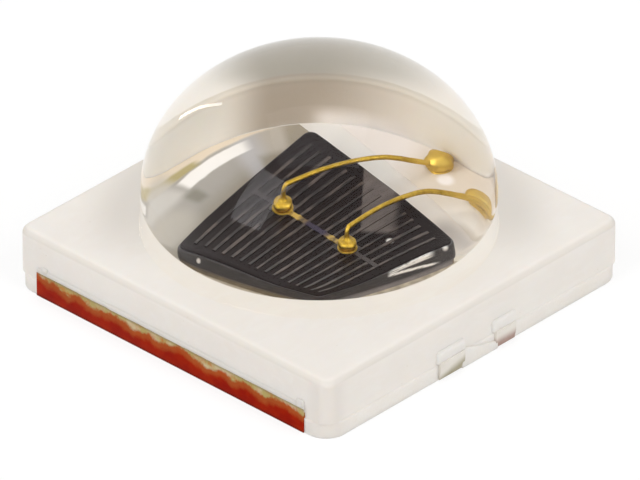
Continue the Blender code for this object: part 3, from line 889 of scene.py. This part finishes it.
def cut_for_leads(body):
    """Opens the housing where the leads' own solids come through it."""
    for node in ("heat_pad", "wire_lead", "heat_pad_plating", "wire_lead_plating"):
        tool = placed("opening_tool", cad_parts[node].data.copy())
        bm = bmesh.new()
        bm.from_mesh(tool.data)
        bmesh.ops.remove_doubles(bm, verts=bm.verts, dist=1e-8)
        if "plating" in node:
            for v in bm.verts:
                v.co.z = -0.1 * MM if v.co.z < 0.003 * MM else v.co.z
        bm.to_mesh(tool.data)
        bm.free()
        mod = body.modifiers.new("opening", "BOOLEAN")
        mod.operation = "DIFFERENCE"
        mod.solver = "EXACT"
        mod.object = tool
        bake_modifiers(body)
        bpy.data.objects.remove(tool, do_unlink=True)


def lump(verts, faces, low, high, round_off, waves=0.0, fall=0.0):
    """Adds a rounded block to a mesh in the making; its top falls towards +Y."""
    bm = bmesh.new()
    bmesh.ops.create_cube(bm, size=1.0)
    size = [h - l for l, h in zip(low, high)]
    middle = [(h + l) / 2 for l, h in zip(low, high)]
    for v in bm.verts:
        drop = fall if v.co.z > 0 and v.co.y > 0 else 0.0
        v.co = Vector([m + s * c for m, s, c in zip(middle, size, v.co)])
        v.co.z -= drop
    edges = bm.edges[:]
    bmesh.ops.bevel(bm, geom=edges, offset=round_off, segments=4, profile=0.5, affect="EDGES")
    first = len(verts)
    bm.verts.index_update()
    for v in bm.verts:
        shake = noise.noise(v.co * 9.0) * waves
        verts.append((v.co.x - abs(shake), v.co.y, v.co.z + shake))
    faces += [tuple(first + v.index for v in f.verts) for f in bm.faces]
    bm.free()


def make_brows(finish):
    """Lumps of plastic over the tie bars, and the rib between two of them."""
    verts, faces = [], []
    for side in (-1, 1):
        x0, x1 = sorted((side * (BODY_HALF - BROW_ROOT), side * (BODY_HALF + BROW_OUT)))
        for y, width in TIES:
            half = width / 2 + BROW_MARGIN
            low, high = (x0, y - half, BROW_FOOT), (x1, y + half, BROW_TOP)
            lump(verts, faces, low, high, BROW_ROUND, waves=0.002)
    low = (BODY_HALF - BROW_ROOT, RIB_Y0, 0.0)
    high = (BODY_HALF + RIB_OUT, RIB_Y1, RIB_TOP)
    lump(verts, faces, low, high, RIB_ROUND, fall=RIB_FALL)
    brows = new_piece("tie_bar_brows", verts, faces, finish, smooth=60)
    return finish_piece(brows, "housing_cream")


# Leads
def make_lead(node, name, finish):
    """The lead's own solid with its facets merged and its edges worn."""
    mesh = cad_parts[node].data.copy()
    bm = bmesh.new()
    bm.from_mesh(mesh)
    bmesh.ops.remove_doubles(bm, verts=bm.verts, dist=1e-8)
    for z in TORN_CUTS:
        parts = bm.verts[:] + bm.edges[:] + bm.faces[:]
        bmesh.ops.bisect_plane(bm, geom=parts, plane_co=(0, 0, z * MM), plane_no=(0, 0, 1))
    for v in bm.verts:
        if abs(v.co.x) > (TIE_OUT - 0.001) * MM:
            torn = max(0.0, TORN_FROM * MM - v.co.z) * TORN_SLOPE
            v.co.x -= copysign(torn, v.co.x)
    flat = radians(1)
    bmesh.ops.dissolve_limit(bm, angle_limit=flat, verts=bm.verts, edges=bm.edges)
    sharp = [e for e in bm.edges if e.is_manifold and e.calc_face_angle() > radians(40)]
    bmesh.ops.bevel(
        bm, geom=sharp, offset=LEAD_WEAR * MM, segments=2, profile=0.5, affect="EDGES",
        clamp_overlap=True,
    )
    bm.to_mesh(mesh)
    bm.free()
    mesh.materials.clear()
    mesh.materials.append(finish)
    lead = placed(name, mesh)
    mesh.shade_smooth()
    mesh.set_sharp_from_angle(angle=radians(50))
    weight_normals(lead)
    return finish_piece(lead, "lead_copper", node)


def make_flash(name, side, finish):
    """An uneven slope of moulding flash over the ledge of a strip, grown by a recipe."""
    r = Recipe(
        name + "_recipe",
        count=240, reach=STRIP_HALF * MM, thick=FLASH_THICK * MM, core=FLASH_CORE * MM,
        seed=5.0 + side, finish=finish,
    )
    line = r.row(0.0, (BODY_HALF - 0.05) * side * MM, STRIP_TOP * MM)
    where = r.add("GeometryNodeInputPosition")
    shift = r.vector(r.given("seed"))
    spot = r.add("ShaderNodeVectorMath", {"operation": "MULTIPLY_ADD"}, where, (1 / MM,) * 3, shift)
    swell = r.add("ShaderNodeTexNoise", None, spot, Scale=4.5, Detail=4.0, Roughness=0.7)
    drift = r.add("ShaderNodeTexNoise", None, spot, Scale=2.0, Detail=2.0)
    lift = (drift - 0.5) * (0.006 * MM)
    moved = r.add("GeometryNodeSetPosition", None, line, Offset=r.vector(0.0, 0.0, lift))
    path = r.add("GeometryNodeMeshToCurve", None, moved)
    radius = r.given("thick") * swell.over(0.25, 0.75) + r.given("core")
    ring = r.add("GeometryNodeCurvePrimitiveCircle", None, Resolution=12, Radius=1.0)
    tube = r.tube(path, ring, radius)
    return finish_piece(r.finish(tube, name), "housing_cream")


def make_end_crumbs(finish):
    """Soft crumbs of flash at the upper corners of the strips."""
    verts, faces = [], []
    for side in (-1, 1):
        y0, y1 = sorted((side * CRUMB_Y0, side * CRUMB_Y1))
        for end, near, far, z0, z1 in CRUMBS:
            x0, x1 = sorted((side * end * near, side * end * far))
            lump(verts, faces, (x0, y0, z0), (x1, y1, z1), CRUMB_ROUND)
    piece = new_piece("strip_end_crumbs", verts, faces, finish, smooth=60)
    return finish_piece(piece, "housing_cream")


# Chip and what it carries
def make_chip(side, film, glue):
    """The sawn block, its film and the fillet of adhesive at its foot."""
    wide = CHIP_HALF + CHIP_SWELL
    levels = [(wide - 0.014, 0.04, z) for z in (CHIP_Z0, 0.370, 0.398)]
    levels += [(wide - 0.006, 0.05, 0.404), (wide - 0.002, 0.05, 0.440), (wide, 0.05, 0.474)]
    levels += [(wide, 0.05, 0.481), (wide - 0.002, 0.05, 0.4848), (wide - 0.006, 0.05, CHIP_Z1)]
    finish_piece(square_loft("chip_sawn", levels, side, CHIP), "chip_body", "chip")
    out = FILM_HALF + FILM_SWELL
    levels = [(out, 0.05, CHIP_Z1 - 0.001), (out, 0.05, FILM_Z1 - 0.002)]
    levels += [(out - 0.0007, 0.05, FILM_Z1 - 0.0006), (out - 0.002, 0.05, FILM_Z1)]
    finish_piece(square_loft("chip_film_coat", levels, film, CHIP), "chip_film", "emitting_film")
    levels = []
    for i in range(7):
        t = i / 6
        half = CHIP_HALF + 0.008 + 0.035 * (1 - t) ** 2
        levels.append((half, 0.03 * (1 - t) + 0.006, PLATED_Z + 0.022 * t))
    piece = square_loft("adhesive_fillet", levels, glue, CHIP, 60, 0.006)
    finish_piece(piece, "die_adhesive", "die_attach")


def make_contact_lines(finish):
    """Fingers along Y by a recipe, with the bus and the squares under the pads."""
    r = Recipe(
        "contact_line_recipe",
        count=FINGERS, reach=FINGER_REACH * MM, wide=FINGER_W * MM,
        thick=(METAL_Z1 - FILM_Z1) * MM, seed=11, finish=finish,
    )
    middle = (FILM_Z1 + METAL_Z1) / 2 * MM
    line = r.row(CHIP[0] * MM, CHIP[1] * MM, middle)
    size = r.vector(r.given("wide"), 2 * FINGER_HALF * MM, r.given("thick"))
    bar = r.add("GeometryNodeMeshCube", None, size)
    across = r.chance(0.75, 1.25, r.given("seed"))
    along = r.chance(0.98, 1.0, r.given("seed") + 1.0)
    vary = r.vector(across, along, 1.0)
    fingers = r.add("GeometryNodeInstanceOnPoints", None, line, Instance=bar, Scale=vary)
    join = r.node("GeometryNodeJoinGeometry")
    r.put(join.inputs[0], fingers)
    plates = [(CHIP[0], 2 * FINGER_HALF, BUS_W)] + [(x, 2 * PAD_R, 2 * PAD_R) for x in PAD_XS]
    for x, length, depth in plates:
        size = r.vector(length * MM, depth * MM, r.given("thick") * 1.1)
        plate = r.add("GeometryNodeMeshCube", None, size)
        where = r.vector(x * MM, PAD_Y * MM, middle)
        r.put(join.inputs[0], r.add("GeometryNodeTransform", None, plate, Translation=where))
    piece = r.finish(Value(r, join.outputs[0]), "contact_fingers")
    return finish_piece(piece, "contact_metal", "contact_lines")


def wire_points(x0, x1, loop_h):
    """Up from the neck, round a tight bend, along a gentle slope and then down to the shelf."""
    knee = GOLD_Z1 + loop_h
    run = END_Y - PAD_Y
    side = [(0.0, GOLD_Z1 + BALL_H), (0.0, knee - BEND_R)]
    for degrees in (165, 149, 132, 116, 100):
        a = radians(degrees)
        side.append((BEND_R + BEND_R * cos(a), knee - BEND_R + BEND_R * sin(a)))
    side += [(run * s, FOOT_Z + (knee - FOOT_Z) * share) for s, share in LOOP_SHAPE]
    return [(x0 + (x1 - x0) * y / run, PAD_Y + y, z) for y, z in side]


def make_wire(side, x0, x1, loop_h, finish):
    """A drawn wire swept along its loop, a little thinner towards its far end."""
    r = Recipe("bond_wire_recipe", thick=WIRE_R * MM, thinner=0.2, samples=90, finish=finish)
    path = r.add("GeometryNodeMeshToCurve", None, Value(r, r.start.outputs["Geometry"]))
    curved = r.add("GeometryNodeCurveSplineType", {"spline_type": "CATMULL_ROM"}, path)
    fine = r.add("GeometryNodeResampleCurve", None, curved, Count=r.given("samples"))
    factor = r.add("GeometryNodeSplineParameter")
    radius = r.given("thick") * (1.0 - factor * r.given("thinner"))
    ring = r.add("GeometryNodeCurvePrimitiveCircle", None, Resolution=20, Radius=1.0)
    points = wire_points(x0, x1, loop_h)
    edges = [(i, i + 1) for i in range(len(points) - 1)]
    wire = r.finish(r.tube(fine, ring, radius), "gold_wire_" + side, points, edges)
    return finish_piece(wire, "bond_gold", "bond_wire_" + side)


def make_ball(side, x, finish, seed):
    """The squashed ball on its pad, with the neck the wire leaves from."""
    top = GOLD_Z1 + BALL_H
    neck = WIRE_R + 0.002
    profile = [(0.0, top + NECK_H), (neck, top + NECK_H), (neck + 0.001, top + 0.010)]
    profile += [(neck + 0.006, top + 0.003), (BALL_R * 0.62, top - 0.003)]
    for degrees in (60, 40, 20, 0, -20, -40, -60):
        a = radians(degrees)
        out = BALL_R - 0.016 + 0.020 * cos(a)
        profile.append((out, GOLD_Z1 + BALL_H * 0.48 + BALL_H * 0.52 * sin(a)))
    profile += [(BALL_R * 0.80, GOLD_Z1 - 0.001), (0.0, GOLD_Z1 - 0.001)]
    ball = turned("gold_ball_" + side, profile, finish, 40, (x, PAD_Y), 60, 0.10, seed)
    finish_piece(ball, "bond_gold")
    rim = [(0.0, GOLD_Z1), (PAD_R - 0.004, GOLD_Z1), (PAD_R - 0.001, GOLD_Z1 - 0.0015)]
    rim += [(PAD_R, METAL_Z1 + 0.001), (PAD_R, METAL_Z1 - 0.002), (0.0, METAL_Z1 - 0.002)]
    pad = turned("gold_pad_" + side, rim, finish, 40, (x, PAD_Y), 40, 0.04, seed + 5)
    finish_piece(pad, "bond_gold", "bond_pad_" + side)


def make_bump(side, x, y, radius, height, finish, seed):
    """The lump of gold that locks a wire's far end."""
    profile = [(0.0, PLATED_Z + height)]
    for degrees in range(10, 131, 10):
        a = radians(degrees)
        z = PLATED_Z + height * (0.42 + 0.58 * cos(a))
        profile.append((radius * sin(a) ** 0.8, z))
    profile += [(radius * 0.9, PLATED_Z - 0.001), (0.0, PLATED_Z - 0.001)]
    bump = turned("gold_lump_" + side, profile, finish, 48, (x, y), 60, 0.22, seed)
    return finish_piece(bump, "bond_gold", "stitch_bump_" + side)


# Lens
def lens_profile():
    """(r, z) from the crown down the dome, in under the foot and down the cup."""
    points = [(0.0, LENS_TOP_Z)]
    cap = LENS_TOP_Z - LENS_SKIRT_Z
    for i in range(1, 61):
        t = pi / 2 * (1 - i / 60)
        points.append((LENS_R * cos(t), LENS_SKIRT_Z + cap * sin(t)))
    fillet = BODY_TOP + LENS_FOOT_H
    for i in range(1, 5):
        points.append((LENS_R, LENS_SKIRT_Z + (fillet - LENS_SKIRT_Z) * i / 5))
    for i in range(9):
        t = pi / 2 * (1 - i / 8)
        r = LENS_FOOT_R - (LENS_FOOT_R - LENS_R) * sin(t)
        points.append((r, BODY_TOP - SINK + LENS_FOOT_H * (1 - cos(t))))
    points += [(1.45, BODY_TOP - SINK), (CUP_MOUTH_R + CUP_LIP, BODY_TOP - SINK)]
    points += [(CUP_MOUTH_R + SINK, BODY_TOP - CUP_LIP), (CUP_FLOOR_R + SINK, LEAD_Z - SINK)]
    points += [(0.6, LEAD_Z - SINK), (0.0, LEAD_Z - SINK)]
    return points


def make_lens(finish):
    lens = turned("lens_dome", lens_profile(), finish, 192, smooth=50)
    return finish_piece(lens, "lens_silicone", "lens")


# Cup floor
def flat_plate(name, outline, low, high, finish):
    m = len(outline)
    verts = [(x, y, z) for z in (low, high) for x, y in outline]
    faces = [tuple(range(m)), tuple(range(m, 2 * m))]
    faces += [(i, (i + 1) % m, m + (i + 1) % m, m + i) for i in range(m)]
    return new_piece(name, verts, faces, finish, smooth=30)


def make_cup_floor(node, name, side, edge, finish):
    """A fine round segment of plating beyond the line y = edge."""
    a0 = asin(edge / PLATED_R)
    turns = (a0, pi - a0) if side > 0 else (pi - a0, 2 * pi + a0)
    n = 120
    outline = [polar(PLATED_R, turns[0] + (turns[1] - turns[0]) * i / n) for i in range(n + 1)]
    plate = flat_plate(name, outline, LEAD_Z, PLATED_Z, finish)
    return finish_piece(plate, "plated_silver", node)


def make_web(finish):
    """Plastic between the two platings, a hair below their faces."""
    n = 12
    a0, a1 = asin(GAP_Y0 / PLATED_R), asin(GAP_Y1 / PLATED_R)
    right = [a0 + (a1 - a0) * i / n for i in range(n + 1)]
    outline = [polar(PLATED_R, a) for a in right + [pi - a for a in reversed(right)]]
    web = flat_plate("cup_web", outline, LEAD_Z - 0.002, PLATED_Z - 0.0002, finish)
    return finish_piece(web, "housing_cream")


# Camera, lamps and floor
def place_camera():
    """The photograph's view, with the middle of the top face at its pixel."""
    a, e = radians(PHOTO_AZIMUTH), radians(PHOTO_ELEVATION)
    back = Vector((sin(a) * cos(e), -cos(a) * cos(e), sin(e)))
    right = Vector((cos(a), sin(a), 0.0))
    up = back.cross(right)
    data = bpy.data.cameras.new("photo_camera")
    data.lens, data.sensor_width, data.sensor_fit = LENS_MM, SENSOR_MM, "HORIZONTAL"
    distance = LENS_MM / SENSOR_MM * PHOTO_W / PIXELS_PER_MM * MM
    aim = Vector((0.0, 0.0, BODY_TOP * MM))
    aim -= right * (TOP_CENTRE_PIXEL[0] - PHOTO_W / 2) / PIXELS_PER_MM * MM
    aim += up * (TOP_CENTRE_PIXEL[1] - PHOTO_H / 2) / PIXELS_PER_MM * MM
    camera = placed("photo_camera", data)
    camera.rotation_mode = "QUATERNION"
    camera.rotation_quaternion = back.to_track_quat("Z", "Y")
    camera.location = aim + back * distance
    data.clip_start, data.clip_end = 0.001, 1.0
    bpy.context.scene.camera = camera


def lamp(name, azimuth, height, distance, size, radiance, colour=(1, 1, 1), lean=0.0, shine=True):
    """A soft box facing the object, as bright as its radiance says, with or without reflections."""
    data = bpy.data.lights.new(name, "AREA")
    data.shape = "RECTANGLE"
    data.size, data.size_y = size
    data.energy = radiance * pi * size[0] * size[1]
    data.color = colour
    box = placed(name, data)
    box.visible_glossy = shine
    a, e = radians(azimuth), radians(height)
    away = Vector((cos(a) * cos(e), sin(a) * cos(e), sin(e)))
    box.location = away * distance
    box.rotation_mode = "QUATERNION"
    turn = Quaternion((0.0, 0.0, 1.0), radians(lean))
    box.rotation_quaternion = away.to_track_quat("Z", "Y") @ turn


def light_studio():
    """White surroundings where they are seen, dimmer ones as light, and four lamps."""
    world = bpy.data.worlds.new("studio")
    bpy.context.scene.world = world
    world.use_nodes = True
    g = Graph(world.node_tree)
    world.node_tree.nodes.clear()
    soft = g.add("ShaderNodeBackground", None, (1.0, 0.995, 0.985), 0.31)
    white = g.add("ShaderNodeBackground", None, (1.0, 1.0, 1.0), 1.0)
    seen = g.rays("Camera", "Glossy", "Transmission")
    g.node("ShaderNodeOutputWorld", None, g.add("ShaderNodeMixShader", None, seen, soft, white))
    lamp("left_box", -96.0, 38.0, 0.25, (0.095, 0.19), 4.1)
    # Hidden from reflections: its sheen on the chip is painted instead
    lamp("right_box", 3.0, 38.0, 0.25, (0.095, 0.18), 4.6, shine=False)
    lamp("top_box", 135.0, 84.0, 0.30, (0.24, 0.24), 1.3)
    lamp("left_strip", 170.0, 16.0, 0.12, (0.0034, 0.055), 8.0, (1.0, 0.97, 0.92), -5.0)


def make_floor(finish):
    """A plane that takes the shadow and isn't part of the object."""
    h = FLOOR_HALF
    corners = [(-h, -h, 0), (h, -h, 0), (h, h, 0), (-h, h, 0)]
    mesh = bpy.data.meshes.new("studio_floor")
    mesh.from_pydata(corners, [], [(0, 1, 2, 3)])
    mesh.materials.append(finish)
    floor = placed("studio_floor", mesh)


def dress_node(name, finish):
    """Paints a node that keeps its own shape."""
    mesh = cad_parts[name].data
    mesh.materials.clear()
    mesh.materials.append(finish)


def build():
    cream, copper, silver, gold = cream_moulding(), lead_copper(), silver_plating(), bond_gold()
    make_housing(cream)
    make_brows(cream)
    make_lead("heat_pad", "large_lead_sawn", copper)
    make_lead("wire_lead", "small_lead_sawn", copper)
    dress_node("heat_pad_plating", silver)
    dress_node("wire_lead_plating", silver)
    make_flash("front_strip_flash", -1, cream)
    make_flash("rear_strip_flash", 1, cream)
    make_end_crumbs(cream)
    bright = cup_plating()
    make_cup_floor("cup_floor_plating", "cup_floor_bright", -1, GAP_Y0, bright)
    make_cup_floor("bond_shelf_plating", "bond_shelf_bright", 1, GAP_Y1, bright)
    make_web(cream)
    make_chip(chip_side(), chip_film(), adhesive())
    make_contact_lines(contact_metal())
    for i, side in enumerate(("left", "right")):
        make_wire(side, PAD_XS[i], END_XS[i], LOOP_HS[i], gold)
        make_ball(side, PAD_XS[i], gold, 3.0 + i)
        make_bump(side, *LUMPS[i], gold, 7.0 + i)
    make_lens(clear_silicone())
    place_camera()
    light_studio()
    make_floor(pale_floor())
    bpy.context.scene.view_settings.view_transform = "Standard"


build()
